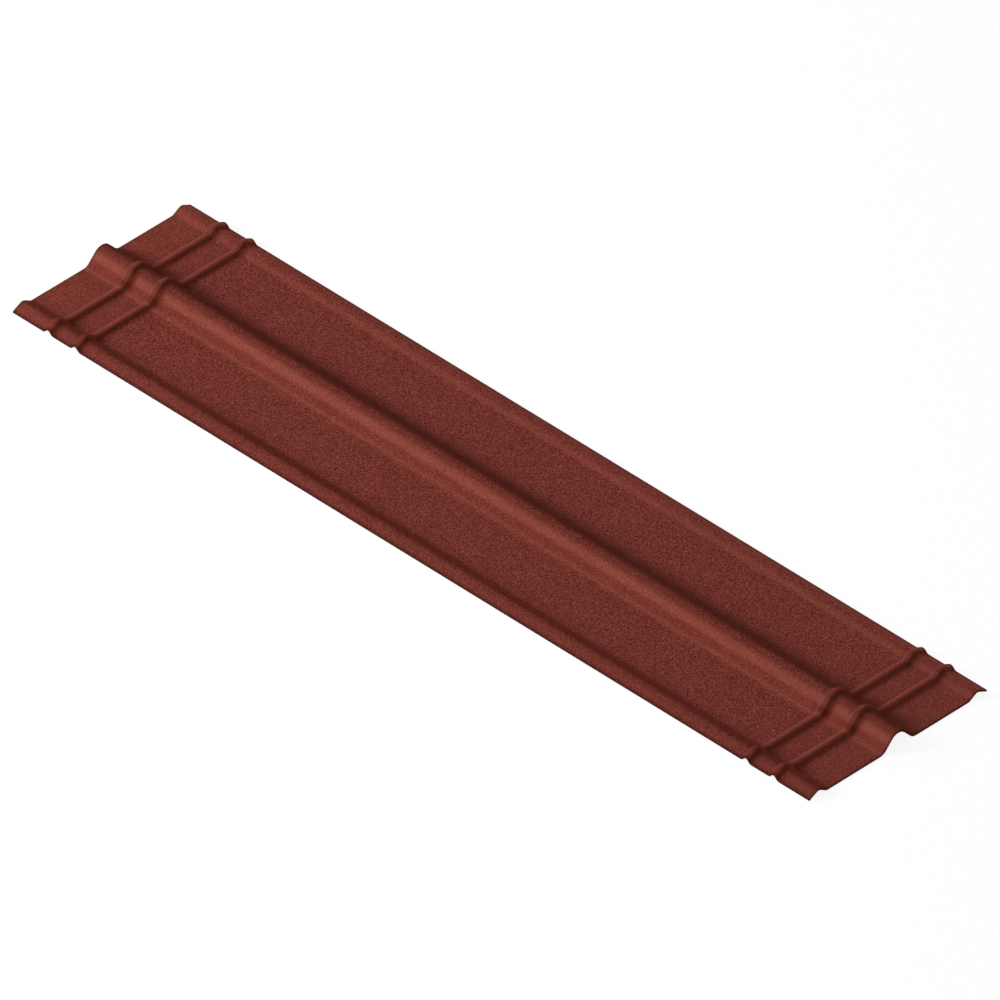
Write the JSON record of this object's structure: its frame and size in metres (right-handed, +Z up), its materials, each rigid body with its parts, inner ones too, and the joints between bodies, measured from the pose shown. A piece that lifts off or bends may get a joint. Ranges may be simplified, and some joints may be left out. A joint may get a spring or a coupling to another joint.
{
  "type": "roof ridge cap",
  "caption": "Long pressed roof ridge cap with a rounded middle roll, flat wings, turned lips and cross ribs near both ends for lapping.",
  "frame": {"origin": "middle of the cap's length and width, at the level of the wings' undersides", "axes": "+X along the ridge, +Y across it, +Z up through the crest of the roll"},
  "size_m": [2, 0.445, 0.0399],
  "materials": {
    "coated_sheet": "matte brick-red coat with a fine grain on pressed bitumen and fibre sheet"
  },
  "bodies": {
    "root": {"ridge_cap": "coated_sheet"}
  },
  "joints": []
}
